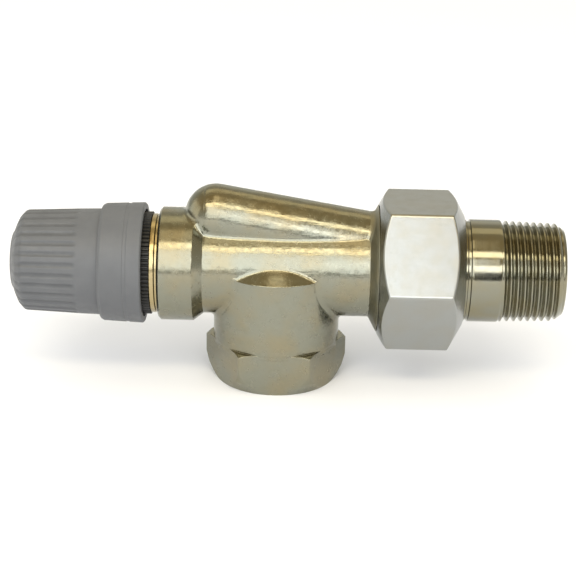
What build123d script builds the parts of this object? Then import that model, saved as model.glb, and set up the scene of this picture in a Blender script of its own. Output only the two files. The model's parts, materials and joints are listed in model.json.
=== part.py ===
from build123d import *
import os
from math import atan, degrees

# Thermostatic radiator valve, DN 20, axial pattern, with its screw cap in place of a thermostatic head.
# Frame: the origin is the centre of the inlet mouth, +Z runs up the inlet bore to the valve axis, and
# +X runs along the valve axis, from the cap to the radiator tailpiece. Sizes are in millimetres.

# ---------------------------------------------------------------- driving dimensions
AXIS_Z = 30.0  # inlet mouth to valve axis
INLET_FLATS = 32.0
NUT_FLATS = 37.0
NECK_FLATS = 19.0  # spanner hexagon of the insert
LIFT = 3.0  # stem travel from open to shut
PITCH = 25.4 / 14  # 3/4 inch pipe thread, for the inlet and the tailpiece
CREST_R = 26.441 / 2
ROOT_R = CREST_R - 0.6403 * PITCH
TAPER = degrees(atan(1 / 32))
TAIL_FOOT = 0.45  # half the base of a thread tooth, in pitches
INLET_FOOT = 0.24
EDGE = 0.6  # small turned chamfers
RUN = 0.05  # radial running clearance
GAP = 0.3  # clearance between bodies that only pass each other

# Stations along the valve axis
CAP_LEFT = -68.9
CAP_SHOULDER = -65.5
CAP_INSIDE = -66.7
GRIP_END = -51.2
RIM_LEFT = -45.6
RIM_RIGHT = -34.4
NECK_LEFT = -50.0
RING_LEFT = -35.6  # toothed ring on the insert's neck
FLANGE_LEFT = -32.6
COLLAR_LEFT = -30.5
INSERT_SHOULDER = -26.0
INSERT_RIGHT = -22.1
COLLAR_RIGHT = -21.5
TUBE_LEFT = -18.9
SEAT_LIP = -11.3
WALL_LEFT = -10.5  # the wall that carries the seat
OUTLET_LEFT = 15.0
TUBE_RIGHT = 24.0
FLARE_RIGHT = 26.1
NUT_LEFT = 26.3
BODY_RIGHT = 38.0
NUT_SHOULDER = 43.0
NUT_RIGHT = 48.3
LAND_LEFT = 49.7
THREAD_LEFT = 57.3
TAIL_RIGHT = 74.2

# Radii about the valve axis
COLLAR_R = 14.8
TUBE_R = 12.75
FLARE_R = 16.6
UNION_R = 15.2  # core of the G 1 union thread
CHAMBER_R = 10.8
NECK_BORE_R = 12.0
ORIFICE_R = 5.2
LIP_R = 6.2
OUTLET_R = 9.5
CONE_R = 14.2  # mouth of the conical seat for the tailpiece
TAIL_BORE_R = 9.3
TAIL_FLANGE_R = 15.0
TAIL_SHANK_R = 13.3
LAND_R = 13.36
NUT_HOLE_R = 13.6
RIM_INSIDE_R = 14.0
GRIP_R = 13.9
NECK_R = 10.4  # core of the cap's thread on the insert
RING_SEAT_R = 11.0
RING_R = 13.4
SETTING_R = 6.5
SETTING_SHOULDER_R = 8.6
GLAND_R = 4.7
SLEEVE_R = 8.7
SLEEVE_INSIDE_R = 7.5
DISC_R = 6.6
SPINDLE_R = 2.5
STUD_R = 1.6
PIN_R = 1.5

# Inlet boss, about the vertical axis
BOSS_R = 16.5
BOSS_BLEND = 1.5
HEX_TOP = 10.9
HEX_CORNER_R = 18.6
DOME_EDGE = AXIS_Z + 0.3
DOME_TOP = AXIS_Z + 6.5
RELIEF_LOW = 14.9  # groove where the inlet thread ends
RELIEF_HIGH = 16.6
RELIEF_R = CREST_R + 0.1
RISER_R = 7.0
RISER_LOW = 18.4
RISER_HIGH = 33.0

# By-pass lobe: a slanted tube over the inlet, from the seat chamber to the outlet
LOBE_R = 8.0
LOBE_BLEND = 1.5
LOBE_BORE_R = 5.0
LOBE_LEFT = Vector(-16.0, 0, AXIS_Z + 13.8)
LOBE_RIGHT = Vector(25.5, 0, AXIS_Z + 6.9)
PORT_X = -15.7
PORT_R = 4.5

# Stem stations, valve open
PIN_TIP = -58.4
GLAND_LEFT = -53.4
WASHER_LEFT = -45.0
WASHER_RIGHT = -44.2
CUP_LEFT = -44.1
SPRING_LEFT = -42.5
SPRING_RIGHT = -27.5
HOLDER_LEFT = -18.3
HOLDER_RIGHT = -15.3
DISC_LEFT = -16.5
DISC_FACE = SEAT_LIP - LIFT - RUN
STUD_END = -12.0
SPRING_WIRE_R = 0.35
SPRING_COIL_R = 3.75
SPRING_TURNS = 7

# Presetting sleeve and setting spindle
SETTING_LEFT = -53.0
SETTING_RIGHT = -22.0
SPIGOT_R = 5.5
SPIGOT_END = -20.2
SLEEVE_RIGHT = -10.9
METER_STEP = 48  # degrees from one metering hole to the next
METER_HOLES = 6

# Repeated details
RING_TEETH = 72
FLUTES = 30

VALVE_AXIS = Axis((0, 0, AXIS_Z), (1, 0, 0))
LATHE = Plane(origin=(0, 0, AXIS_Z), x_dir=(1, 0, 0), z_dir=(0, -1, 0))


def across(station):
    """The plane square to the valve axis at a station: local x is +Y and local y is +Z."""
    return Plane(origin=(station, 0, AXIS_Z), x_dir=(0, 1, 0), z_dir=(1, 0, 0))


def turn(*corners, mode=Mode.ADD):
    """Turn a closed outline of (station, radius) corners about the valve axis."""
    with BuildSketch(LATHE) as outline:
        with BuildLine():
            Polyline(*corners, close=True)
        make_face()
    revolve(outline.sketch, axis=VALVE_AXIS, mode=mode)


def turn_upright(*corners, mode=Mode.ADD):
    """Turn a closed outline of (radius, height) corners about the inlet axis."""
    with BuildSketch(Plane.XZ) as outline:
        with BuildLine():
            Polyline(*corners, close=True)
        make_face()
    revolve(outline.sketch, axis=Axis.Z, mode=mode)


def tube(left, right, outer, inner, mode=Mode.ADD):
    """A plain ring about the valve axis."""
    turn((left, inner), (left, outer), (right, outer), (right, inner), mode=mode)


def bore(left, right, radius):
    """A plain hole along the valve axis."""
    turn((left, 0), (left, radius), (right, radius), (right, 0), mode=Mode.SUBTRACT)


def hexagon_bar(left, right, flats):
    """A hexagonal bar along the valve axis, with one flat facing up."""
    with BuildSketch(across(left)) as section:
        RegularPolygon(flats / 2, 6, major_radius=False)
    extrude(section.sketch, amount=right - left)


def o_ring(station, radius, section_r):
    """A rubber ring about the valve axis."""
    with BuildSketch(LATHE) as section:
        with Locations((station, radius)):
            Circle(section_r)
    revolve(section.sketch, axis=VALVE_AXIS)


def sweep_thread(helix, centre, height, foot, mode=Mode.ADD):
    """Sweep one pipe-thread tooth along a helix that starts level with centre. Foot is half its base, in pitches."""
    start = helix @ 0
    with BuildSketch(Plane(origin=start, x_dir=start - centre, z_dir=helix % 0)) as tooth:
        with BuildLine():
            Polyline(
                (-0.15, -foot * PITCH),
                (height, -0.08 * PITCH),
                (height, 0.08 * PITCH),
                (-0.15, foot * PITCH),
                close=True,
            )
        make_face()
    sweep(tooth.sketch, path=helix, is_frenet=True, mode=mode)


# ---------------------------------------------------------------- casing
# hexagon round the inlet mouth, with a long rounded bevel below and a small one above
with BuildPart() as inlet_hexagon:
    with BuildSketch():
        RegularPolygon(INLET_FLATS / 2, 6, major_radius=False)
    extrude(amount=HEX_TOP)
    turn_upright(
        (0, 0),
        (INLET_FLATS / 2, 0),
        (HEX_CORNER_R - 0.9, 3.0),
        (HEX_CORNER_R, 6.0),
        (HEX_CORNER_R, HEX_TOP - EDGE),
        (HEX_CORNER_R - 2 * EDGE, HEX_TOP),
        (0, HEX_TOP),
        mode=Mode.INTERSECT,
    )

with BuildPart() as valve_body:
    # main tube, with the insert's collar at its left and the union spigot at its right
    turn(
        (COLLAR_LEFT, 0),
        (COLLAR_LEFT, COLLAR_R - EDGE),
        (COLLAR_LEFT + EDGE, COLLAR_R),
        (COLLAR_RIGHT, COLLAR_R),
        (TUBE_LEFT, TUBE_R),
        (TUBE_RIGHT, TUBE_R),
        (FLARE_RIGHT, FLARE_R),
        (FLARE_RIGHT, UNION_R),
        (BODY_RIGHT - EDGE, UNION_R),
        (BODY_RIGHT, UNION_R - EDGE),
        (BODY_RIGHT, 0),
    )
    # by-pass lobe with its round left end
    lobe_run = LOBE_RIGHT - LOBE_LEFT
    lobe_plane = Plane(origin=LOBE_LEFT, x_dir=(0, 1, 0), z_dir=lobe_run)
    with BuildSketch(lobe_plane):
        Circle(LOBE_R)
    extrude(amount=lobe_run.length)
    with Locations(LOBE_LEFT):
        Sphere(LOBE_R)
    # inlet boss with its domed top
    with BuildSketch(Plane.XZ):
        with BuildLine():
            Polyline((0, DOME_TOP), (0, HEX_TOP - 1), (BOSS_R, HEX_TOP - 1), (BOSS_R, DOME_EDGE))
            TangentArc((0, DOME_TOP), (BOSS_R, DOME_EDGE), tangent=(1, 0))
        make_face()
    revolve(axis=Axis.Z)
    # soft creases of the forging
    turned = (GeomType.LINE, GeomType.CIRCLE)
    creases = valve_body.edges().filter_by(lambda edge: edge.geom_type not in turned)
    fillet(creases.filter_by(lambda edge: (edge @ 0.5).Z < DOME_TOP), radius=BOSS_BLEND)
    creases = valve_body.edges().filter_by(lambda edge: edge.geom_type not in turned)
    fillet(creases.filter_by(lambda edge: (edge @ 0.5).Z > DOME_TOP), radius=LOBE_BLEND)
    add(inlet_hexagon.part)
    # inlet: thread core, relief groove and riser to the seat
    turn_upright(
        (0, -1),
        (ROOT_R, -1),
        (ROOT_R, RELIEF_LOW),
        (RELIEF_R, RELIEF_LOW),
        (RELIEF_R, RELIEF_HIGH),
        (RISER_R, RISER_LOW),
        (RISER_R, RISER_HIGH),
        (0, RISER_HIGH),
        mode=Mode.SUBTRACT,
    )
    # bore for the insert, seat chamber with its raised lip, and orifice
    bore(COLLAR_LEFT - 1, INSERT_RIGHT + GAP, NECK_BORE_R)
    bore(INSERT_RIGHT, WALL_LEFT, CHAMBER_R)
    tube(SEAT_LIP, WALL_LEFT, LIP_R, ORIFICE_R)
    bore(WALL_LEFT - 0.1, 0, ORIFICE_R)
    # by-pass: port out of the seat chamber, slanted drilling in the lobe, and outlet bore
    with BuildSketch(Plane(origin=(PORT_X, 0, AXIS_Z + 8))) as port:
        Circle(PORT_R)
    extrude(port.sketch, amount=LOBE_LEFT.Z - AXIS_Z - 8, mode=Mode.SUBTRACT)
    with BuildSketch(lobe_plane) as drilling:
        Circle(LOBE_BORE_R)
    extrude(drilling.sketch, amount=lobe_run.length - 2, mode=Mode.SUBTRACT)
    turn(
        (OUTLET_LEFT, 0),
        (OUTLET_LEFT + 1, OUTLET_R),
        (33.5, OUTLET_R),
        (BODY_RIGHT - 3.8, CONE_R - 2.8),
        (BODY_RIGHT, CONE_R),
        (BODY_RIGHT + 1, CONE_R),
        (BODY_RIGHT + 1, 0),
        mode=Mode.SUBTRACT,
    )
    inlet_helix = Helix(PITCH, RELIEF_LOW + 1.5 * PITCH, ROOT_R, center=(0, 0, -PITCH), mode=Mode.PRIVATE)
    sweep_thread(inlet_helix, Vector(0, 0, -PITCH), CREST_R - ROOT_R, INLET_FOOT, mode=Mode.SUBTRACT)

# ---------------------------------------------------------------- valve insert and its fixed pieces
with BuildPart() as valve_insert:
    turn(
        (NECK_LEFT, 0),
        (NECK_LEFT, NECK_R - EDGE),
        (NECK_LEFT + EDGE, NECK_R),
        (-40.5, NECK_R),
        (-40.5, 9.4),
        (-36.2, 9.4),
        (-36.2, RING_SEAT_R - RUN),
        (FLANGE_LEFT, RING_SEAT_R - RUN),
        (FLANGE_LEFT, 12.6),
        (FLANGE_LEFT + 0.4, 13.0),
        (-31.2, 13.0),
        (-31.2, 12.4),
        (COLLAR_LEFT, 12.4),
        (COLLAR_LEFT, NECK_BORE_R - RUN),
        (-25.1, NECK_BORE_R - RUN),
        (-25.1, 10.5),
        (-23.3, 10.5),
        (-23.3, NECK_BORE_R - RUN),
        (INSERT_RIGHT, NECK_BORE_R - RUN),
        (INSERT_RIGHT, 0),
    )
    hexagon_bar(-39.4, -36.2, NECK_FLATS)
    bore(NECK_LEFT - 1, INSERT_RIGHT + 1, SETTING_R + RUN)
    bore(INSERT_SHOULDER, INSERT_RIGHT + 1, SETTING_SHOULDER_R + GAP)

with BuildPart() as insert_o_ring:
    o_ring(-24.2, 11.25, 0.7)

# black ring with fine teeth, pressed on the neck against the flange
with BuildPart() as toothed_ring:
    with BuildSketch(across(RING_LEFT)) as ring_section:
        Circle(RING_R - 0.5)
        with PolarLocations(RING_R - 0.6, RING_TEETH):
            Polygon((0, -0.5), (0.6, -0.2), (0.6, 0.2), (0, 0.5), align=None)
        Circle(RING_SEAT_R, mode=Mode.SUBTRACT)
    extrude(ring_section.sketch, amount=FLANGE_LEFT - RING_LEFT)

with BuildPart() as return_spring:
    coil_start = SPRING_LEFT + SPRING_WIRE_R + RUN
    coil_length = SPRING_RIGHT - SPRING_WIRE_R - RUN - coil_start
    coil = Helix(
        coil_length / SPRING_TURNS,
        coil_length,
        SPRING_COIL_R,
        center=(coil_start, 0, AXIS_Z),
        direction=(1, 0, 0),
        mode=Mode.PRIVATE,
    )
    with BuildSketch(Plane(origin=coil @ 0, z_dir=coil % 0)) as wire:
        Circle(SPRING_WIRE_R)
    sweep(wire.sketch, path=coil, is_frenet=True)

# ---------------------------------------------------------------- presetting pieces, which turn together
with BuildPart() as setting_spindle:
    turn(
        (SETTING_LEFT, 0),
        (SETTING_LEFT, SETTING_R - 0.4),
        (SETTING_LEFT + 0.4, SETTING_R),
        (-51.0, SETTING_R),
        (-51.0, 5.9),
        (NECK_LEFT - 0.1, 5.9),
        (NECK_LEFT - 0.1, SETTING_R),
        (-30.7, SETTING_R),
        (-30.7, 5.45),
        (-29.5, 5.45),
        (-29.5, SETTING_R),
        (INSERT_SHOULDER + RUN, SETTING_R),
        (INSERT_SHOULDER + RUN, SETTING_SHOULDER_R),
        (SETTING_RIGHT, SETTING_SHOULDER_R),
        (SETTING_RIGHT, SPIGOT_R),
        (SPIGOT_END, SPIGOT_R),
        (SPIGOT_END, 0),
    )
    bore(SETTING_LEFT - 1, SPRING_RIGHT, GLAND_R)
    bore(SPRING_RIGHT, SPIGOT_END + 1, SPINDLE_R + RUN)
    # key slots across the outer end
    with BuildSketch(across(SETTING_LEFT)) as key_slots:
        Rectangle(2 * SETTING_R + 2, 1.6)
    extrude(key_slots.sketch, amount=1.2, mode=Mode.SUBTRACT)

with BuildPart() as retaining_ring:
    with BuildSketch(across(-50.9)) as clip:
        Circle(7.8)
        Circle(5.95, mode=Mode.SUBTRACT)
        with Locations((0, 6.5)):
            Rectangle(3.0, 4.0, mode=Mode.SUBTRACT)
    extrude(clip.sketch, amount=0.7)

with BuildPart() as setting_o_ring:
    o_ring(-30.1, 5.97, 0.48)

with BuildPart() as gland_nut:
    hexagon_bar(GLAND_LEFT - 1.6, GLAND_LEFT, 8.0)
    turn(
        (GLAND_LEFT, 0),
        (GLAND_LEFT, GLAND_R - RUN),
        (-47.9, GLAND_R - RUN),
        (-47.9, 3.9),
        (-46.7, 3.9),
        (-46.7, GLAND_R - RUN),
        (WASHER_LEFT, GLAND_R - RUN),
        (WASHER_LEFT, 0),
    )
    bore(GLAND_LEFT - 2, WASHER_LEFT + 1, PIN_R + RUN)
    tube(-49.9, -48.7, 2.6, 1.0, mode=Mode.SUBTRACT)

with BuildPart() as pin_o_ring:
    o_ring(-49.3, 2.08, 0.5)

with BuildPart() as gland_o_ring:
    o_ring(-47.3, 4.27, 0.35)

with BuildPart() as gland_washer:
    tube(WASHER_LEFT, WASHER_RIGHT, GLAND_R - RUN, PIN_R + RUN)

with BuildPart() as metering_sleeve:
    tube(SETTING_RIGHT, SLEEVE_RIGHT, SLEEVE_R, SLEEVE_INSIDE_R)
    tube(SETTING_RIGHT, SPIGOT_END - 0.6, SLEEVE_INSIDE_R + 0.1, SPIGOT_R)
    # graded holes: the one under the port meters the flow
    for position in range(METER_HOLES):
        hole_r = 2.9 - 0.4 * position
        facing = Vector(0, 0, 1).rotate(Axis.X, -METER_STEP * position)
        drill = Plane(origin=(PORT_X, 0, AXIS_Z), x_dir=(1, 0, 0), z_dir=facing)
        with BuildSketch(drill.offset(SLEEVE_INSIDE_R - 1.5)) as hole:
            Circle(hole_r)
        extrude(hole.sketch, amount=4, mode=Mode.SUBTRACT)

# ---------------------------------------------------------------- stem
with BuildPart() as pressure_pin:
    turn(
        (PIN_TIP, 0),
        (PIN_TIP, PIN_R - 0.5),
        (PIN_TIP + 0.5, PIN_R),
        (CUP_LEFT, PIN_R),
        (CUP_LEFT, 0),
    )

with BuildPart() as spring_cup:
    turn(
        (CUP_LEFT, 0),
        (CUP_LEFT, GLAND_R - GAP),
        (SPRING_LEFT, GLAND_R - GAP),
        (SPRING_LEFT, 3.2),
        (SPRING_LEFT + 1.5, 3.2),
        (SPRING_LEFT + 1.5, SPINDLE_R),
        (SPRING_LEFT - 0.6, SPINDLE_R),
        (SPRING_LEFT - 0.6, 0),
    )

with BuildPart() as spindle:
    turn(
        (SPRING_LEFT - 0.6, 0),
        (SPRING_LEFT - 0.6, SPINDLE_R),
        (HOLDER_LEFT, SPINDLE_R),
        (HOLDER_LEFT, STUD_R),
        (STUD_END, STUD_R),
        (STUD_END, 0),
    )

with BuildPart() as disc_holder:
    turn(
        (HOLDER_LEFT, STUD_R),
        (HOLDER_LEFT, 4.0),
        (HOLDER_LEFT + 0.6, DISC_R + 0.4),
        (HOLDER_RIGHT, DISC_R + 0.4),
        (HOLDER_RIGHT, DISC_R),
        (DISC_LEFT, DISC_R),
        (DISC_LEFT, STUD_R),
    )

with BuildPart() as valve_disc:
    tube(DISC_LEFT, DISC_FACE, DISC_R, STUD_R)

with BuildPart() as disc_nut:
    hexagon_bar(DISC_FACE, -12.6, 5.5)
    bore(DISC_FACE - 1, -12, STUD_R)

# ---------------------------------------------------------------- screw cap
with BuildPart() as screw_cap:
    with BuildSketch(LATHE) as shell:
        with BuildLine():
            Polyline((CAP_LEFT, 0), (CAP_LEFT, 7.3), (CAP_LEFT + 0.5, 8.2))
            ThreePointArc((CAP_LEFT + 0.5, 8.2), (-67.2, 11.4), (CAP_SHOULDER, 13.1))
            Polyline(
                (CAP_SHOULDER, 13.1),
                (GRIP_END, GRIP_R - 0.1),
                (RIM_LEFT, GRIP_R),
                (RIM_LEFT, 14.8),
                (RIM_LEFT + EDGE, 15.3),
                (RIM_RIGHT - EDGE, 15.8),
                (RIM_RIGHT, 15.3),
                (RIM_RIGHT, RIM_INSIDE_R),
                (-44.0, RIM_INSIDE_R),
                (-44.0, NECK_R + 0.1),
                (-50.3, NECK_R + 0.1),
                (-50.9, 11.4),
                (-65.4, 11.0),
                (CAP_INSIDE, 9.8),
                (CAP_INSIDE, 3.2),
                (PIN_TIP - RUN, 3.2),
                (PIN_TIP - RUN, 0),
                (CAP_LEFT, 0),
            )
        make_face()
    revolve(shell.sketch, axis=VALVE_AXIS)
    # finger flutes, from the shoulder to the plain band
    with BuildSketch(across(CAP_SHOULDER + 0.7)) as flutes:
        with PolarLocations(GRIP_R + 0.35, FLUTES):
            Circle(0.95)
    extrude(flutes.sketch, amount=GRIP_END - CAP_SHOULDER - 0.7, mode=Mode.SUBTRACT)
    # four ribs that brace the central post
    with BuildSketch(across(CAP_INSIDE - 0.5)) as ribs:
        with PolarLocations(6.9, 4):
            Rectangle(8.0, 1.0)
    extrude(ribs.sketch, amount=6)

# ---------------------------------------------------------------- union nut
with BuildPart() as union_nut:
    hexagon_bar(NUT_LEFT, NUT_RIGHT, NUT_FLATS)
    turn(
        (NUT_LEFT, UNION_R + 0.1),
        (NUT_LEFT, 17.0),
        (NUT_LEFT + 2.6, 21.5),
        (44.5, 21.5),
        (NUT_RIGHT, 14.4),
        (NUT_RIGHT, NUT_HOLE_R),
        (NUT_SHOULDER, NUT_HOLE_R),
        (NUT_SHOULDER, UNION_R + 0.1),
        mode=Mode.INTERSECT,
    )

# ---------------------------------------------------------------- tailpiece
NOSE_RING_X = BODY_RIGHT - 1.6
with BuildPart() as tailpiece:
    thread_length = TAIL_RIGHT - THREAD_LEFT
    turn(
        (BODY_RIGHT - 3.6, 0),
        (BODY_RIGHT - 3.6, CONE_R - 3.0),
        (BODY_RIGHT + GAP, CONE_R - GAP),
        (BODY_RIGHT + 0.5, TAIL_FLANGE_R),
        (NUT_SHOULDER - RUN, TAIL_FLANGE_R),
        (NUT_SHOULDER - RUN, TAIL_SHANK_R),
        (NUT_RIGHT + 0.4, TAIL_SHANK_R),
        (NUT_RIGHT + 0.6, TAIL_SHANK_R - GAP),
        (LAND_LEFT, TAIL_SHANK_R - GAP),
        (LAND_LEFT + 0.1, LAND_R),
        (THREAD_LEFT, LAND_R),
        (THREAD_LEFT, ROOT_R),
        (TAIL_RIGHT, ROOT_R - thread_length / 32),
        (TAIL_RIGHT, 0),
    )
    tail_helix = Helix(
        PITCH,
        thread_length + 0.2,
        ROOT_R,
        center=(THREAD_LEFT - 1, 0, AXIS_Z),
        direction=(1, 0, 0),
        cone_angle=-TAPER,
        mode=Mode.PRIVATE,
    )
    sweep_thread(tail_helix, Vector(THREAD_LEFT - 1, 0, AXIS_Z), CREST_R - ROOT_R, TAIL_FOOT)
    # lead-in chamfer, squared end and through bore
    turn((70.3, 14.0), (79.7, 14.0), (79.7, 7.2), mode=Mode.SUBTRACT)
    bore(TAIL_RIGHT, TAIL_RIGHT + 6, 15)
    bore(30, TAIL_RIGHT + 1, TAIL_BORE_R)
    # groove for the O-ring in the conical nose
    tube(NOSE_RING_X - 0.8, NOSE_RING_X + 0.8, 14.0, 11.6, mode=Mode.SUBTRACT)
    # two lugs in the bore for the fitting key
    with BuildSketch(across(66)) as lugs:
        with PolarLocations(TAIL_BORE_R - 0.2, 2):
            Rectangle(1.8, 2.4)
    extrude(lugs.sketch, amount=6)

with BuildPart() as tail_o_ring:
    o_ring(NOSE_RING_X, 12.25, 0.6)

# ---------------------------------------------------------------- write each piece
pieces = {
    "valve_body": valve_body,
    "valve_insert": valve_insert,
    "insert_o_ring": insert_o_ring,
    "toothed_ring": toothed_ring,
    "return_spring": return_spring,
    "setting_spindle": setting_spindle,
    "retaining_ring": retaining_ring,
    "setting_o_ring": setting_o_ring,
    "gland_nut": gland_nut,
    "pin_o_ring": pin_o_ring,
    "gland_o_ring": gland_o_ring,
    "gland_washer": gland_washer,
    "metering_sleeve": metering_sleeve,
    "pressure_pin": pressure_pin,
    "spring_cup": spring_cup,
    "spindle": spindle,
    "disc_holder": disc_holder,
    "valve_disc": valve_disc,
    "disc_nut": disc_nut,
    "screw_cap": screw_cap,
    "union_nut": union_nut,
    "tailpiece": tailpiece,
    "tail_o_ring": tail_o_ring,
}
os.makedirs("parts", exist_ok=True)
for name, piece in pieces.items():
    piece.part.label = name
    export_step(piece.part, f"parts/{name}.step")
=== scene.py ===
import json
from math import cos, pi, radians, sin, tan

import bpy
import numpy as np
from mathutils import Matrix, Vector


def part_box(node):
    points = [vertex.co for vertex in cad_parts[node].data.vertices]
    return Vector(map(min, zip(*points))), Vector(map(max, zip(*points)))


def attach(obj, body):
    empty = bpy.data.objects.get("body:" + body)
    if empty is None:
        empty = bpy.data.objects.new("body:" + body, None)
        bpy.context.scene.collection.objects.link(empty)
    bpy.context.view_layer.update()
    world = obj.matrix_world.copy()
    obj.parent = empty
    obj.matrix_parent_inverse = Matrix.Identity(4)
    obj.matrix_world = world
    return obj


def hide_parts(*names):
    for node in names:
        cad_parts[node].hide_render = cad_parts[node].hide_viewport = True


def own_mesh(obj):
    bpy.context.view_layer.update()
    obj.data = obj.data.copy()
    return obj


# Looks of the thermostatic radiator valve. The CAD frame has its origin at the centre of the
# inlet mouth, +Z up the inlet bore and +X along the valve axis. Shapes here are worked in
# millimetres about that axis and written to the meshes in metres.

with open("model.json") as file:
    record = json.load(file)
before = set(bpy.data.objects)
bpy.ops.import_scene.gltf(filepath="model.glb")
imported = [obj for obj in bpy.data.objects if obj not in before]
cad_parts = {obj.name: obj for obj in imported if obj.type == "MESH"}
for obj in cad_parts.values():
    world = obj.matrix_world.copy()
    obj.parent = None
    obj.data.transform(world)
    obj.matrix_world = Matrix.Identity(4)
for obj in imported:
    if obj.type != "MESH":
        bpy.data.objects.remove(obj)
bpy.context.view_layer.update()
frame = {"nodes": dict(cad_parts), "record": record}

MM = 0.001
AXIS_Z = 30.0
TURN = 2 * pi

# ---------------------------------------------------------------- shapes about the valve axis


def smooth_step(low, high, value):
    """0 below low, 1 above high, and a smooth rise between them."""
    t = np.clip((value - low) / (high - low), 0, 1)
    return t * t * (3 - 2 * t)


def blend_min(a, b, width):
    """The smaller of a and b, with the edge where they cross rounded over width."""
    h = np.clip(0.5 + 0.5 * (b - a) / width, 0, 1)
    return b * (1 - h) + a * h - width * h * (1 - h)


def blend_max(a, b, width):
    """The larger of a and b, with the crease where they cross rounded over width."""
    return -blend_min(-a, -b, width)


def outline(corners, step=1.0, facets=6):
    """Points along (station, radius, fillet) corners, which are rounded, with long runs divided."""
    spots = [Vector((c[0], c[1])) for c in corners]
    points = [spots[0]]
    for i in range(1, len(spots)):
        end = spots[i]
        fillet = corners[i][2] if i < len(spots) - 1 else 0
        arc = [end]
        if fillet:
            back = (spots[i - 1] - end).normalized()
            ahead = (spots[i + 1] - end).normalized()
            half = back.angle(ahead) / 2
            reach = fillet / tan(half)
            first, last = end + back * reach, end + ahead * reach
            centre = end + (back + ahead).normalized() * (fillet / sin(half))
            arc = []
            for k in range(facets + 1):
                spoke = first.lerp(last, k / facets) - centre
                arc.append(centre + spoke.normalized() * fillet)
        run = arc[0] - points[-1]
        pieces = max(1, int(np.ceil(run.length / step)))
        start = points[-1]
        points += [start + run * k / pieces for k in range(1, pieces)]
        points += arc
    return np.array([tuple(p) for p in points])


def plain_rings(part, count):
    """The radii of an outline as rings, the same at every angle."""
    return np.broadcast_to(part[:, 1:], (len(part), count))


def angles(count):
    """Evenly spaced angles about the valve axis, as a row: 0 is +Y and a quarter turn is +Z."""
    return np.arange(count)[None, :] * TURN / count


def add_object(name, vertices, faces):
    """A mesh object in the scene, smooth-shaded."""
    mesh = bpy.data.meshes.new(name)
    mesh.from_pydata(vertices, [], faces)
    mesh.update()
    mesh.shade_smooth()
    piece = bpy.data.objects.new(name, mesh)
    bpy.context.scene.collection.objects.link(piece)
    return piece


def skin(name, stations, radii, closed, marks=None):
    """A surface of rings about the valve axis, one row of radii per ring. An open one ends in
    two poles. marks is a value per ring and angle, which the material reads as "mark"."""
    rings, count = radii.shape
    turn = np.broadcast_to(angles(count), radii.shape)
    x = np.broadcast_to(np.asarray(stations, float).reshape(rings, -1), radii.shape)
    spots = np.stack((x, radii * np.cos(turn), AXIS_Z + radii * np.sin(turn)), axis=-1)
    following = ((np.arange(count) + 1) % count).tolist()
    faces = []
    last_ring = rings if closed else rings - 1
    for ring in range(last_ring):
        a, b = ring * count, ((ring + 1) % rings) * count
        faces += [(a + k, a + n, b + n, b + k) for k, n in enumerate(following)]
    vertices = (spots.reshape(-1, 3) * MM).tolist()
    values = np.broadcast_to(0.0 if marks is None else marks, radii.shape).ravel().tolist()
    if not closed:
        for ring in (0, rings - 1):
            pole = len(vertices)
            vertices.append((float(x[ring, 0]) * MM, 0.0, AXIS_Z * MM))
            values.append(values[ring * count])
            base = ring * count
            for k, n in enumerate(following):
                ends = (base + n, base + k) if ring == 0 else (base + k, base + n)
                faces.append((pole, *ends))
    piece = add_object(name, vertices, faces)
    attribute = piece.data.attributes.new("mark", "FLOAT", "POINT")
    attribute.data.foreach_set("value", values)
    return piece


def hexagon_radius(flats, turn, rounding):
    """Distance from the axis to a hexagon with one flat facing up, its corners rounded."""
    nearest = None
    for side in range(6):
        off = np.cos(turn - pi / 2 - side * pi / 3)
        distance = np.where(off > 0.2, flats / 2 / np.maximum(off, 0.2), 10 * flats)
        nearest = distance if nearest is None else blend_min(nearest, distance, rounding)
    return nearest


FLANK_FOOT = 0.92  # of half a pitch, from the crest's middle to the foot of the flank
FLANK_WIDTH = 0.78  # of half a pitch


def tooth(x, turn, pitch):
    """Height, from 0 to 1, of a right-hand pipe thread at a station and an angle."""
    phase = (x / pitch - turn / TURN) % 1.0
    side = np.abs(phase - 0.5) * 2
    return np.clip((FLANK_FOOT - side) / FLANK_WIDTH, 0, 1)


def place(piece, body, slot, *nodes):
    """The piece rides on a body, takes its finish from a slot, and stands for the named CAD nodes."""
    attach(piece, body)
    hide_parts(*nodes)
    piece.data.materials.append(materials[slot])
    return piece


# ---------------------------------------------------------------- node materials


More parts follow.
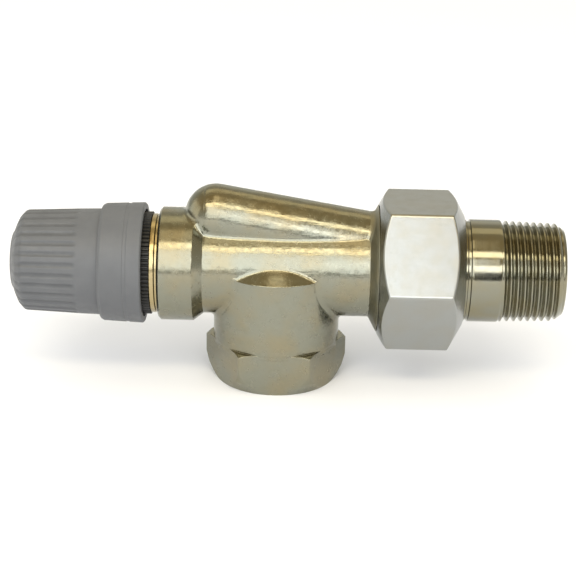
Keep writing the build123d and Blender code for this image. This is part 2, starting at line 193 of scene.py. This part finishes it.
class Finish:
    """One material, with short calls for the nodes used here.

    Patterns follow the piece's own coordinates, in metres."""

    def __init__(self, name):
        self.material = bpy.data.materials.new(name)
        self.material.use_nodes = True
        self.tree = self.material.node_tree
        self.shader = self.tree.nodes["Principled BSDF"]
        self.where = self.node("ShaderNodeTexCoord").outputs["Object"]
        self.normal = None

    def node(self, kind, inputs=(), **settings):
        made = self.tree.nodes.new(kind)
        for key, value in settings.items():
            setattr(made, key, value)
        for socket, value in dict(inputs).items():
            if isinstance(value, bpy.types.NodeSocket):
                self.tree.links.new(value, made.inputs[socket])
            else:
                made.inputs[socket].default_value = value
        return made

    def math(self, operation, a, b=0.0):
        return self.node("ShaderNodeMath", {0: a, 1: b}, operation=operation).outputs[0]

    def noise(self, size_mm, detail=3.0, where=None, stretch=None):
        """Noise from 0 to 1 with blobs about size_mm across, which stretch lengthens along x, y, z."""
        where = self.where if where is None else where
        scale = [1 / (size_mm * MM)] * 3
        if stretch:
            scale = [s / k for s, k in zip(scale, stretch)]
        spot = self.node("ShaderNodeMapping", {"Vector": where, "Scale": scale}).outputs[0]
        inputs = {"Vector": spot, "Scale": 1.0, "Detail": detail}
        return self.node("ShaderNodeTexNoise", inputs).outputs["Fac"]

    def between(self, value, low, high, out_low=0.0, out_high=1.0):
        """Value mapped smoothly from low..high to out_low..out_high."""
        inputs = {"Value": value, "From Min": low, "From Max": high}
        inputs.update({"To Min": out_low, "To Max": out_high})
        made = self.node("ShaderNodeMapRange", inputs, interpolation_type="SMOOTHSTEP")
        return made.outputs["Result"]

    def mix(self, factor, first, second):
        """One colour to another by a factor."""
        made = self.node("ShaderNodeMix", {"Factor": factor}, data_type="RGBA")
        # the node has a set of sockets for each type: inputs 6 and 7 and output 2 are colours
        for socket, value in ((made.inputs[6], first), (made.inputs[7], second)):
            if isinstance(value, bpy.types.NodeSocket):
                self.tree.links.new(value, socket)
            else:
                socket.default_value = (*value, 1)
        return made.outputs[2]

    def mark(self):
        """The value that the mesh code left on the piece."""
        return self.node("ShaderNodeAttribute", attribute_name="mark").outputs["Fac"]

    def axes(self):
        """The distance along the valve axis, and the distance from it."""
        split = self.node("ShaderNodeSeparateXYZ", {"Vector": self.where}).outputs
        up = self.math("SUBTRACT", split["Z"], AXIS_Z * MM)
        across = self.math("MULTIPLY", split["Y"], split["Y"])
        square = self.math("ADD", across, self.math("MULTIPLY", up, up))
        return split["X"], self.math("SQRT", square)

    def tool_marks(self, size_mm, detail=2.0):
        """Fine rings left by turning: they follow the station on a barrel and the radius on a face."""
        station, radius = self.axes()
        run = self.math("ADD", station, self.math("MULTIPLY", radius, 1.3))
        along = self.node("ShaderNodeCombineXYZ", {"X": run}).outputs[0]
        return self.noise(size_mm, detail, where=along)

    def relief(self, height, depth_mm):
        """Stack a bump of a given depth on the ones before it."""
        inputs = {"Height": height, "Distance": depth_mm * MM, "Strength": 1.0}
        if self.normal is not None:
            inputs["Normal"] = self.normal
        self.normal = self.node("ShaderNodeBump", inputs).outputs["Normal"]

    def done(self, colour, roughness, metallic=0.0, **constants):
        """Join the patterns to the shader. Constants are set on its own sockets."""
        for socket, value in (("Base Color", colour), ("Roughness", roughness)):
            self.tree.links.new(value, self.shader.inputs[socket])
        if self.normal is not None:
            self.tree.links.new(self.normal, self.shader.inputs["Normal"])
        self.shader.inputs["Metallic"].default_value = metallic
        for socket, value in constants.items():
            self.shader.inputs[socket.replace("_", " ")].default_value = value
        return self.material


NICKEL = (0.262, 0.264, 0.212)
NICKEL_WARM = (0.285, 0.258, 0.176)
NICKEL_DULL = (0.225, 0.232, 0.182)
NUT_NICKEL = (0.350, 0.361, 0.352)
NUT_NICKEL_WARM = (0.350, 0.352, 0.328)

# where the casting's surface changes, in metres: each change starts and ends at these places
COLLAR_TURNED = (-0.0184, -0.0190)
SPIGOT_TURNED = (0.0255, 0.0259)
CONE_MATT = (0.0236, 0.0242)
MOUTH_TURNED = (0.0112, 0.0106)


def nickel_casting():
    """Polished nickel plate on a forging: waves, lengthwise streaks and a fine grain, with
    turned areas at the collar, the union spigot and the inlet hexagon."""
    f = Finish("nickel_casting")
    f.normal = f.node("ShaderNodeBevel", {"Radius": 0.3 * MM}, samples=8).outputs["Normal"]
    cloud = f.noise(9.0, 4.0)
    stain = f.noise(2.2, 5.0)
    colour = f.mix(f.between(cloud, 0.35, 0.7), NICKEL, NICKEL_WARM)
    colour = f.mix(f.between(stain, 0.5, 0.85, 0.0, 0.55), colour, NICKEL_DULL)
    split = f.node("ShaderNodeSeparateXYZ", {"Vector": f.where}).outputs
    station, level = split["X"], split["Z"]
    rough = f.between(f.noise(1.4, 4.0), 0.3, 0.75, 0.15, 0.30)
    rough = f.math("ADD", rough, f.between(station, *CONE_MATT, 0.0, 0.2))
    lathe = f.math("MAXIMUM", f.between(station, *COLLAR_TURNED), f.between(station, *SPIGOT_TURNED))
    mouth = f.between(level, *MOUTH_TURNED)
    forged = f.math("SUBTRACT", 1.0, f.math("MAXIMUM", lathe, mouth))
    f.relief(f.math("MULTIPLY", f.noise(4.5, 3.0), forged), 0.13)
    f.relief(f.math("MULTIPLY", f.noise(0.9, 4.0, stretch=(8, 1, 1)), forged), 0.045)
    f.relief(f.math("MULTIPLY", f.noise(0.35, 3.0), forged), 0.004)
    f.relief(f.math("MULTIPLY", f.tool_marks(0.22), lathe), 0.008)
    levels = f.node("ShaderNodeCombineXYZ", {"X": level}).outputs[0]
    f.relief(f.math("MULTIPLY", f.noise(0.3, 3.0, where=levels), mouth), 0.012)
    return f.done(colour, rough, 1.0)


def nickel_nut():
    """Satin nickel plate: drawn streaks along the flats, turning marks on the bevels."""
    f = Finish("nickel_nut")
    bevel = f.mark()
    streaks = f.noise(0.16, 3.0, stretch=(60, 1, 1))
    colour = f.mix(f.between(f.noise(6.0, 4.0), 0.35, 0.7), NUT_NICKEL, NUT_NICKEL_WARM)
    colour = f.mix(f.between(f.noise(1.1, 5.0), 0.55, 0.85, 0.0, 0.2), colour, NICKEL_DULL)
    rough = f.between(f.noise(3.0, 3.0), 0.3, 0.75, 0.21, 0.26)
    f.relief(f.noise(7.0, 2.0), 0.03)
    f.relief(f.math("MULTIPLY", streaks, f.math("SUBTRACT", 1.0, bevel)), 0.008)
    f.relief(f.math("MULTIPLY", f.tool_marks(0.25), bevel), 0.012)
    return f.done(colour, rough, 1.0)


def turned_metal(name, base, second, rough_low, rough_high, depth_mm=0.007):
    """A turned piece: fine rings, slight stains, and an uneven polish."""
    f = Finish(name)
    colour = f.mix(f.between(f.noise(5.0, 4.0), 0.35, 0.7), base, second)
    rings = f.tool_marks(0.2, 3.0)
    polish = f.math("MULTIPLY", f.noise(1.5, 4.0), 0.5)
    uneven = f.math("ADD", f.math("MULTIPLY", rings, 0.5), polish)
    rough = f.between(uneven, 0.3, 0.7, rough_low, rough_high)
    f.relief(rings, depth_mm)
    return f.done(colour, rough, 1.0)


def spring_steel():
    """Drawn wire with faint lengthwise streaks and a dull sheen."""
    f = Finish("spring_steel")
    colour = f.mix(f.noise(0.8, 4.0), (0.42, 0.42, 0.43), (0.60, 0.60, 0.60))
    rough = f.between(f.noise(0.5, 3.0), 0.3, 0.7, 0.22, 0.38)
    f.relief(f.noise(0.12, 3.0, stretch=(1, 4, 4)), 0.004)
    return f.done(colour, rough, 1.0)


def rubber():
    """Black rubber with a fine matt skin and a faint bloom."""
    f = Finish("rubber")
    bloom = f.between(f.noise(1.2, 4.0), 0.4, 0.8)
    colour = f.mix(bloom, (0.016, 0.016, 0.017), (0.045, 0.045, 0.045))
    rough = f.between(f.noise(0.4, 3.0), 0.3, 0.7, 0.5, 0.72)
    f.relief(f.noise(0.1, 3.0), 0.006)
    return f.done(colour, rough, 0.0)


def moulded_plastic(name, base, second, rough_low, rough_high, grain_mm=0.14, hollow_shade=0.0):
    """Moulded plastic: an eroded-mould grain, faint clouds, and painted shade in the hollows that are
    marked.
    """
    f = Finish(name)
    colour = f.mix(f.between(f.noise(7.0, 4.0), 0.3, 0.75), base, second)
    specks = f.between(f.noise(0.5, 5.0), 0.6, 0.85, 0.0, 0.35)
    colour = f.mix(specks, colour, tuple(0.8 * c for c in base))
    # painted shade: the hollows marked on the mesh are darkened, by an uneven amount
    if hollow_shade:
        patches = f.between(f.noise(3.0, 4.0), 0.2, 0.7, 0.5 * hollow_shade, hollow_shade)
        painted_shade = f.math("MULTIPLY", f.mark(), patches)
        colour = f.mix(painted_shade, colour, tuple(0.45 * c for c in base))
    rough = f.between(f.noise(2.0, 4.0), 0.3, 0.75, rough_low, rough_high)
    f.relief(f.noise(5.0, 2.0), 0.03)
    f.relief(f.noise(grain_mm, 2.0), 0.006)
    return f.done(colour, rough, 0.0)


materials = {
    "nickel_casting": nickel_casting(),
    "nickel_nut": nickel_nut(),
    "nickel_turned": turned_metal(
        "nickel_turned", (0.262, 0.258, 0.205), (0.268, 0.248, 0.172), 0.10, 0.18),
    "brass": turned_metal("brass", (0.47, 0.39, 0.225), (0.44, 0.345, 0.175), 0.14, 0.27),
    "stainless": turned_metal(
        "stainless", (0.60, 0.60, 0.60), (0.52, 0.52, 0.53), 0.14, 0.26, depth_mm=0.004),
    "spring_steel": spring_steel(),
    "rubber": rubber(),
    "white_plastic": moulded_plastic(
        "white_plastic", (0.74, 0.74, 0.70), (0.80, 0.80, 0.77), 0.34, 0.46),
    "black_plastic": moulded_plastic(
        "black_plastic", (0.006, 0.006, 0.005), (0.011, 0.010, 0.009), 0.46, 0.58),
    "grey_plastic": moulded_plastic(
        "grey_plastic", (0.101, 0.106, 0.115), (0.113, 0.118, 0.127), 0.42, 0.56,
        grain_mm=0.22, hollow_shade=0.4),
}

# every CAD node gets its slot's material; some are replaced by finer pieces below
for subpart in frame["record"]["subparts"]:
    cad_mesh = frame["nodes"][subpart["node"]].data
    cad_mesh.materials.clear()
    cad_mesh.materials.append(materials[subpart["material_slot"]])

# ---------------------------------------------------------------- screw cap
CAP_FLUTES = 30
CAP_FLUTE_DEPTH = 0.3
CAP_FLUTE_FADE = (8.6, 12.2)  # the flutes deepen over the shoulder, from this radius to this one
CAP_RIDGE = 0.35  # the grooves follow a cosine, down to minus this; the rest is plain ridge
CAP_SHOULDER = -65.5
CAP_GRIP_END = -51.2
CAP_RIM_LEFT = -45.6
CAP_POST_END = -58.45  # the post that pushes the pin


def screw_cap():
    """Grey cap: a bevelled end, finger flutes that run over the shoulder, a plain band, a rim
    with a fine groove, and the post inside."""
    low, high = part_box("screw_cap")
    left, right = low.x / MM, high.x / MM
    shell = outline(
        [
            (left, 0.6, 0),
            (left, 7.4, 0.25),
            (left + 0.45, 8.1, 0.2),
            (left + 1.1, 9.8, 4.0),
            (left + 2.0, 11.7, 5.0),
            (CAP_SHOULDER, 13.15, 1.6),
            (CAP_GRIP_END, 13.75, 0),
            (CAP_RIM_LEFT, 13.9, 0.35),
            (CAP_RIM_LEFT, 14.9, 0.35),
            (CAP_RIM_LEFT + 0.8, 15.35, 0.6),
            (-39.2, 15.6, 0.15),
            (-39.0, 15.48, 0.12),
            (-38.3, 15.5, 0.12),
            (-38.1, 15.65, 0.15),
            (right - 0.35, 15.78, 0.25),
            (right, 15.4, 0.25),
            (right, 14.1, 0.2),
            (right - 0.4, 14.0, 0),
        ],
        step=0.45,
    )
    inside = outline(
        [
            (right - 0.4, 14.0, 0),
            (-44.0, 14.0, 0.4),
            (-44.0, 10.6, 0.2),
            (-50.3, 10.5, 0.2),
            (-50.9, 11.4, 0.3),
            (-65.4, 11.0, 0.6),
            (-66.7, 9.8, 0.8),
            (-66.7, 3.3, 0.5),
            (CAP_POST_END, 3.2, 0.3),
            (CAP_POST_END, 0.6, 0),
        ],
        step=1.0,
    )
    turn = angles(CAP_FLUTES * 16)
    x, r = shell[:, :1], shell[:, 1:]
    groove = smooth_step(-CAP_RIDGE, 1, np.cos(turn * CAP_FLUTES + pi / 2))
    run = smooth_step(*CAP_FLUTE_FADE, r) * smooth_step(CAP_GRIP_END + 0.3, CAP_GRIP_END - 1.2, x)
    hollow = plain_rings(inside[1:], turn.size)
    rows = np.vstack((r - CAP_FLUTE_DEPTH * groove * run, hollow))
    stations = np.concatenate((shell[:, 0], inside[1:, 0]))
    marks = np.vstack((groove * run, np.zeros_like(hollow)))
    return skin("screw_cap_moulding", stations, rows, closed=False, marks=marks)


place(screw_cap(), "cap", "grey_plastic", "screw_cap")

# ---------------------------------------------------------------- union nut and its thread
UNION_PITCH = 2.309
UNION_CORE_R = 15.2
UNION_CREST_R = 16.55
THREAD_CLEARANCE = 0.1
NUT_SHOULDER = 43.0  # where the nut bears on the tailpiece's flange
NUT_HOLE_R = 13.6
NUT_MOUTH_R = 16.2
NUT_BEVEL_START = 2.9  # from the left face
NUT_BEVEL_END = 44.2
BEYOND_CORNERS_R = 22.0


def union_nut():
    """Hexagonal nut, bevelled at both ends, with the union thread inside."""
    low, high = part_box("union_nut")
    left, right = low.x / MM, high.x / MM
    flats = (high.z - low.z) / MM
    turn = angles(420)
    hexagon = hexagon_radius(flats, turn, 0.45)
    first = (left + NUT_BEVEL_START, BEYOND_CORNERS_R, 0)
    last = (NUT_BEVEL_END, BEYOND_CORNERS_R, 0)
    edge = (right - 0.3, NUT_HOLE_R, 0)
    rise = outline([(left, NUT_MOUTH_R, 0), (left, 17.0, 0.25), first], step=0.22)
    barrel = outline([first, last], step=0.8)
    fall = outline([last, (right, 14.5, 0.3), (right, 13.9, 0.25), edge], step=0.22)
    outer = np.vstack((rise, barrel[1:], fall[1:]))
    shape = blend_min(hexagon, outer[:, 1:], 0.5)
    bevel = smooth_step(-0.2, 0.4, hexagon - outer[:, 1:])
    deep = (NUT_SHOULDER, 15.9, 0)
    hole = outline([edge, (NUT_SHOULDER, NUT_HOLE_R, 0.2), deep], step=0.8)
    bore = outline([deep, (left + 1.0, 15.9, 0), (left, NUT_MOUTH_R, 0)], step=0.13)
    x = bore[1:-1, :1]
    depth = UNION_CREST_R - UNION_CORE_R
    thread = UNION_CORE_R + THREAD_CLEARANCE + depth * tooth(x, turn, UNION_PITCH)
    run_out_r, run_out = 16.7, 2.2
    thread = np.maximum(thread, np.where(x > NUT_SHOULDER - run_out, run_out_r, 0))
    lead_in = 16.9 - 1.1 * (x - left)
    thread = blend_max(thread, lead_in, 0.2)
    inner = np.vstack((plain_rings(hole[1:], turn.size), thread))
    rows = np.vstack((shape, inner))
    stations = np.concatenate((outer[:, 0], hole[1:, 0], bore[1:-1, 0]))
    marks = np.vstack((bevel, np.ones_like(inner)))
    return skin("union_nut_forging", stations, rows, closed=True, marks=marks)


def union_thread():
    """Male union thread on the body's spigot, which the nut screws on."""
    start, end = 26.9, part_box("valve_body")[1].x / MM - 0.25
    foot = UNION_CORE_R - 0.15
    turn = angles(360)
    barrel = outline([(start, UNION_CORE_R, 0), (end, UNION_CORE_R, 0)], step=0.13)
    x = barrel[:, :1]
    fade = smooth_step(start, start + 1.6, x)
    depth = UNION_CREST_R - UNION_CORE_R
    ridge = UNION_CORE_R + depth * tooth(x, turn, UNION_PITCH) * fade
    ridge = np.maximum(blend_min(ridge, foot + 1.1 * (end - x), 0.2), foot)
    inside = np.full((2, turn.size), foot - 0.15)
    rows = np.vstack((ridge, inside))
    stations = np.concatenate((barrel[:, 0], (end, start)))
    return skin("union_thread", stations, rows, closed=True)


place(union_nut(), "nut", "nickel_nut", "union_nut")
place(union_thread(), "root", "nickel_turned")

# ---------------------------------------------------------------- tailpiece
TAIL_PITCH = 25.4 / 14
TAIL_CREST_R = 26.441 / 2
TAIL_DEPTH = 0.6403 * TAIL_PITCH
TAIL_TAPER = 1 / 32  # on the radius
TAIL_BORE_R = 9.3
TAIL_LAND_R = 13.36
TAIL_SHANK_R = 13.3
TAIL_FLANGE_R = 15.0
TAIL_THREAD_LEFT = 57.3
TAIL_CHAMFER_LEFT = 70.3  # the lead-in chamfer: where it starts, its radius there and its slope
TAIL_CHAMFER_R = 14.0
TAIL_CHAMFER_SLOPE = 0.7234
LUGS_LEFT = 65.4  # two lugs in the bore, for the key that screws the tailpiece in
LUGS_RIGHT = 72.6
LUG_HEIGHT = 1.1


def chamfer(x):
    """Radius of the lead-in chamfer at a station."""
    return TAIL_CHAMFER_R - TAIL_CHAMFER_SLOPE * (x - TAIL_CHAMFER_LEFT)


def tailpiece():
    """Tailpiece: a conical nose with a ring groove, a flange, a shank, a land, a taper thread
    and two lugs in its bore."""
    low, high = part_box("tailpiece")
    left, right = low.x / MM, high.x / MM
    turn = angles(300)
    front = outline(
        [
            (left, 10.3, 0),
            (left, 11.2, 0.2),
            (35.6, 12.03, 0.12),
            (35.6, 11.6, 0.15),
            (37.2, 11.6, 0.15),
            (37.2, 13.14, 0.12),
            (38.3, 13.9, 0.1),
            (38.5, TAIL_FLANGE_R, 0.15),
            (42.95, TAIL_FLANGE_R, 0.3),
            (42.95, TAIL_SHANK_R, 0.3),
            (48.8, TAIL_SHANK_R, 0.15),
            (48.95, 12.9, 0.15),
            (49.7, 12.9, 0.15),
            (49.8, TAIL_LAND_R, 0.18),
            (TAIL_THREAD_LEFT, TAIL_LAND_R, 0),
        ],
        step=0.8,
    )
    thread = [(TAIL_THREAD_LEFT, TAIL_LAND_R, 0), (right, TAIL_LAND_R, 0)]
    barrel = outline(thread, step=0.11)[1:]
    x = barrel[:, :1]
    core = TAIL_CREST_R - TAIL_DEPTH - TAIL_TAPER * (x - TAIL_THREAD_LEFT)
    ridge = core + TAIL_DEPTH * tooth(x, turn, TAIL_PITCH)
    run_out = smooth_step(TAIL_THREAD_LEFT, TAIL_THREAD_LEFT + 1.1, x)
    ridge = ridge * run_out + TAIL_LAND_R * (1 - run_out)
    ridge = blend_min(ridge, chamfer(x), 0.25)
    end = outline(
        [
            (right, float(chamfer(right)) - 0.05, 0),
            (right, 9.8, 0.2),
            (right - 0.5, TAIL_BORE_R, 0.1),
            (LUGS_RIGHT, TAIL_BORE_R, 0),
        ],
        step=0.6,
    )
    bore = outline([(LUGS_RIGHT, TAIL_BORE_R, 0), (LUGS_LEFT, TAIL_BORE_R, 0)], step=0.2)
    x = bore[1:, :1]
    along = smooth_step(LUGS_LEFT + 0.3, LUGS_LEFT + 0.7, x)
    along = along * smooth_step(LUGS_RIGHT - 0.3, LUGS_RIGHT - 0.7, x)
    across = smooth_step(1.35, 1.05, np.abs(np.sin(turn)) * TAIL_BORE_R)
    lugs = TAIL_BORE_R - LUG_HEIGHT * along * across
    back = outline(
        [(LUGS_LEFT, TAIL_BORE_R, 0), (left + 0.7, TAIL_BORE_R, 0.3), (left, 10.3, 0)], step=2.0
    )[1:-1]
    rows = np.vstack((
        plain_rings(front, turn.size),
        ridge,
        plain_rings(end, turn.size),
        lugs,
        plain_rings(back, turn.size),
    ))
    stations = np.concatenate((front[:, 0], barrel[:, 0], end[:, 0], bore[1:, 0], back[:, 0]))
    return skin("tailpiece_turning", stations, rows, closed=True)


place(tailpiece(), "tail", "nickel_turned", "tailpiece")

# ---------------------------------------------------------------- valve insert
INSERT_NECK_R = 10.4
INSERT_CORE_R = 9.4
INSERT_HEX_FLATS = 19.0
INSERT_HEX_CORNER_R = 10.9
INSERT_HEX_LEFT = -39.6
INSERT_HEX_RIGHT = -36.0
RING_SEAT_R = 10.95
FLANGE_LEFT = -32.6
FLANGE_RIGHT = -31.2
FLANGE_R = 12.95
COLLAR_FACE = -30.5
INSERT_R = 11.95
INSERT_HOLE_R = 6.55


def valve_insert():
    """Brass insert: a neck with a groove, a spanner hexagon, the toothed ring's seat, the flange
    that shows, and the part in the body with its seal's groove."""
    low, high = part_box("valve_insert")
    left, right = low.x / MM, high.x / MM
    turn = angles(300)
    front = outline(
        [
            (left, 7.3, 0),
            (left, INSERT_NECK_R, 0.5),
            (-40.5, INSERT_NECK_R, 0.2),
            (-40.5, INSERT_CORE_R, 0.2),
            (INSERT_HEX_LEFT, INSERT_CORE_R, 0),
        ],
        step=1.0,
    )
    block = [(INSERT_HEX_LEFT, INSERT_CORE_R, 0), (INSERT_HEX_RIGHT, INSERT_CORE_R, 0)]
    block = outline(block, step=0.12)[1:]
    x = block[:, :1]
    sides = hexagon_radius(INSERT_HEX_FLATS, turn, 0.3)
    start, end = INSERT_HEX_LEFT + 0.2, INSERT_HEX_RIGHT - 0.2
    bevel = np.minimum(INSERT_NECK_R + 1.4 * (x - start), INSERT_HEX_CORNER_R)
    along = smooth_step(start - 0.05, start + 0.15, x) * smooth_step(end + 0.1, end - 0.1, x)
    hexagon = INSERT_CORE_R + (blend_min(sides, bevel, 0.3) - INSERT_CORE_R) * along
    rest = outline(
        [
            (-35.95, INSERT_CORE_R, 0),
            (-35.9, RING_SEAT_R, 0.2),
            (FLANGE_LEFT, RING_SEAT_R, 0.1),
            (FLANGE_LEFT, FLANGE_R, 0.3),
            (FLANGE_RIGHT, FLANGE_R, 0.3),
            (FLANGE_RIGHT, 12.4, 0.1),
            (COLLAR_FACE, 12.4, 0.05),
            (COLLAR_FACE, INSERT_R, 0.05),
            (-25.1, INSERT_R, 0.1),
            (-25.1, 10.5, 0.2),
            (-23.3, 10.5, 0.2),
            (-23.3, INSERT_R, 0.1),
            (right, INSERT_R, 0.3),
            (right, 8.9, 0.2),
            (-26.0, 8.9, 0.2),
            (-26.0, INSERT_HOLE_R, 0.1),
            (left, INSERT_HOLE_R, 0.3),
            (left, 7.3, 0),
        ],
        step=1.0,
    )[:-1]
    rows = np.vstack((plain_rings(front, turn.size), hexagon, plain_rings(rest, turn.size)))
    stations = np.concatenate((front[:, 0], block[:, 0], rest[:, 0]))
    return skin("valve_insert_turning", stations, rows, closed=True)


place(valve_insert(), "root", "brass", "valve_insert")

# ---------------------------------------------------------------- return spring


def return_spring():
    """The spring's own copy of the CAD coil."""
    cad = frame["nodes"]["return_spring"]
    piece = bpy.data.objects.new("return_spring_coil", cad.data.copy())
    bpy.context.scene.collection.objects.link(piece)
    piece.data.materials.clear()
    return piece


coil = place(return_spring(), "root", "spring_steel", "return_spring")
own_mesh(coil)

# ---------------------------------------------------------------- floor


def studio_floor():
    """A wide pale floor under the inlet mouth."""
    half = 4.0
    corners = [(-half, -half, 0), (half, -half, 0), (half, half, 0), (-half, half, 0)]
    floor = add_object("studio_floor", corners, [(0, 1, 2, 3)])
    f = Finish("studio_paper")
    colour = f.mix(f.noise(120.0, 2.0), (0.85, 0.86, 0.91), (0.87, 0.88, 0.925))
    rough = f.between(f.noise(40.0, 2.0), 0.3, 0.7, 0.85, 0.95)
    floor.data.materials.append(f.done(colour, rough, 0.0, Specular_IOR_Level=0.1))


studio_floor()

# ---------------------------------------------------------------- light


def panel(name, reach, elevation, azimuth, size, power, colour, lit):
    """A rectangular lamp that faces the valve from reach metres. Azimuth 0 is the front.

    One that isn't lit shows only as a reflection."""
    lamp = bpy.data.lights.new(name, "AREA")
    lamp.shape = "RECTANGLE"
    lamp.size, lamp.size_y = size
    lamp.energy = power
    lamp.color = colour
    holder = bpy.data.objects.new(name, lamp)
    bpy.context.scene.collection.objects.link(holder)
    e, a = radians(elevation), radians(azimuth)
    back = Vector((sin(a) * cos(e), -cos(a) * cos(e), sin(e)))
    centre = Vector((0, 0, AXIS_Z * MM))
    holder.location = centre + back * reach
    holder.rotation_mode = "QUATERNION"
    holder.rotation_quaternion = (-back).to_track_quat("-Z", "Y")
    holder.visible_camera = False
    holder.visible_diffuse = lit


PANELS = [
    # name, reach, elevation, azimuth, width and height, power, colour, lit
    ("front_softbox", 0.9, 27.0, -15.0, (0.70, 0.66), 3.6, (0.91, 0.95, 1.0), True),
    ("side_softbox", 0.9, 24.0, 24.0, (0.50, 0.22), 1.4, (1.0, 0.99, 0.985), True),
    ("warm_strip", 0.9, 56.0, 0.0, (1.3, 0.20), 3.45, (1.0, 0.90, 0.68), True),
    ("back_softbox", 1.1, 24.0, 180.0, (1.4, 0.35), 0.35, (1.0, 0.90, 0.72), True),
    ("left_fill", 0.9, 15.0, -92.0, (0.80, 0.50), 0.9, (1.0, 0.96, 0.84), True),
    ("back_strip", 1.1, 60.0, 180.0, (1.4, 0.36), 1.15, (1.0, 0.86, 0.55), False),
    ("top_fill", 0.9, 80.0, 0.0, (0.24, 0.34), 0.27, (1.0, 0.87, 0.62), False),
]
for settings in PANELS:
    panel(*settings)


def ceiling():
    """Even, very soft light from straight above, which reflections leave out."""
    lamp = bpy.data.lights.new("ceiling", "SUN")
    lamp.energy = 1.8
    lamp.angle = radians(120.0)
    lamp.color = (0.80, 0.90, 1.0)
    holder = bpy.data.objects.new("ceiling", lamp)
    bpy.context.scene.collection.objects.link(holder)
    holder.location = (0, 0, 1.0)
    holder.visible_camera = False
    holder.visible_glossy = False


ceiling()


def dark_card():
    """A dark board behind the camera, to its right: the dark line along the tailpiece mirrors it."""
    left, right, top, front = 0.10, 0.40, 0.275, -0.9
    corners = [(left, front, 0.0), (right, front, 0.0), (right, front, top), (left, front, top)]
    card = add_object("dark_card", corners, [(0, 1, 2, 3)])
    f = Finish("dark_card")
    colour = f.mix(f.noise(90.0, 2.0), (0.020, 0.022, 0.022), (0.030, 0.032, 0.032))
    rough = f.between(f.noise(40.0), 0.3, 0.7, 0.8, 0.9)
    card.data.materials.append(f.done(colour, rough, 0.0))
    card.visible_camera = False


dark_card()


def studio_sky():
    """Soft surroundings: brown overhead, paler towards the horizon."""
    world = bpy.data.worlds.new("studio_sky")
    bpy.context.scene.world = world
    world.use_nodes = True
    tree = world.node_tree
    background = tree.nodes["Background"]
    where = tree.nodes.new("ShaderNodeTexCoord").outputs["Generated"]
    split = tree.nodes.new("ShaderNodeSeparateXYZ")
    tree.links.new(where, split.inputs[0])
    # the brown overhead reaches less far down behind the valve
    fade = tree.nodes.new("ShaderNodeMapRange")
    tree.links.new(split.outputs["Y"], fade.inputs["Value"])
    fade.inputs["From Max"].default_value = 1.0
    fade.inputs["To Min"].default_value = 1.0
    fade.inputs["To Max"].default_value = 0.3
    height = tree.nodes.new("ShaderNodeMath")
    height.operation = "MULTIPLY"
    tree.links.new(split.outputs["Z"], height.inputs[0])
    tree.links.new(fade.outputs["Result"], height.inputs[1])
    ramp = tree.nodes.new("ShaderNodeValToRGB")
    tree.links.new(height.outputs[0], ramp.inputs[0])
    stops = ramp.color_ramp.elements
    horizon, overhead = stops[0], stops[1]
    horizon.position, horizon.color = 0.0, (0.66, 0.67, 0.62, 1)
    overhead.position, overhead.color = 1.0, (0.56, 0.43, 0.22, 1)
    stops.new(0.45).color = (0.54, 0.46, 0.31, 1)
    tree.links.new(ramp.outputs[0], background.inputs["Color"])
    background.inputs["Strength"].default_value = 1.0


studio_sky()

# ---------------------------------------------------------------- camera


def camera():
    """The camera looks down on the valve from the front, tilted a little."""
    lens = bpy.data.cameras.new("camera")
    lens.lens = 105.1
    lens.clip_start, lens.clip_end = 0.01, 20.0
    holder = bpy.data.objects.new("camera", lens)
    bpy.context.scene.collection.objects.link(holder)
    target = Vector((3.0, -2.3, 24.66)) * MM
    distance = 0.440
    azimuth, elevation, roll = radians(0.8), radians(21.4), radians(1.1)
    back = Vector((sin(azimuth) * cos(elevation), -cos(azimuth) * cos(elevation), sin(elevation)))
    holder.location = target + back * distance
    level = (-back).to_track_quat("-Z", "Y").to_matrix().to_4x4()
    holder.rotation_mode = "QUATERNION"
    holder.rotation_quaternion = (level @ Matrix.Rotation(roll, 4, "Z")).to_quaternion()
    bpy.context.scene.camera = holder


camera()
bpy.context.scene.view_settings.view_transform = "Standard"
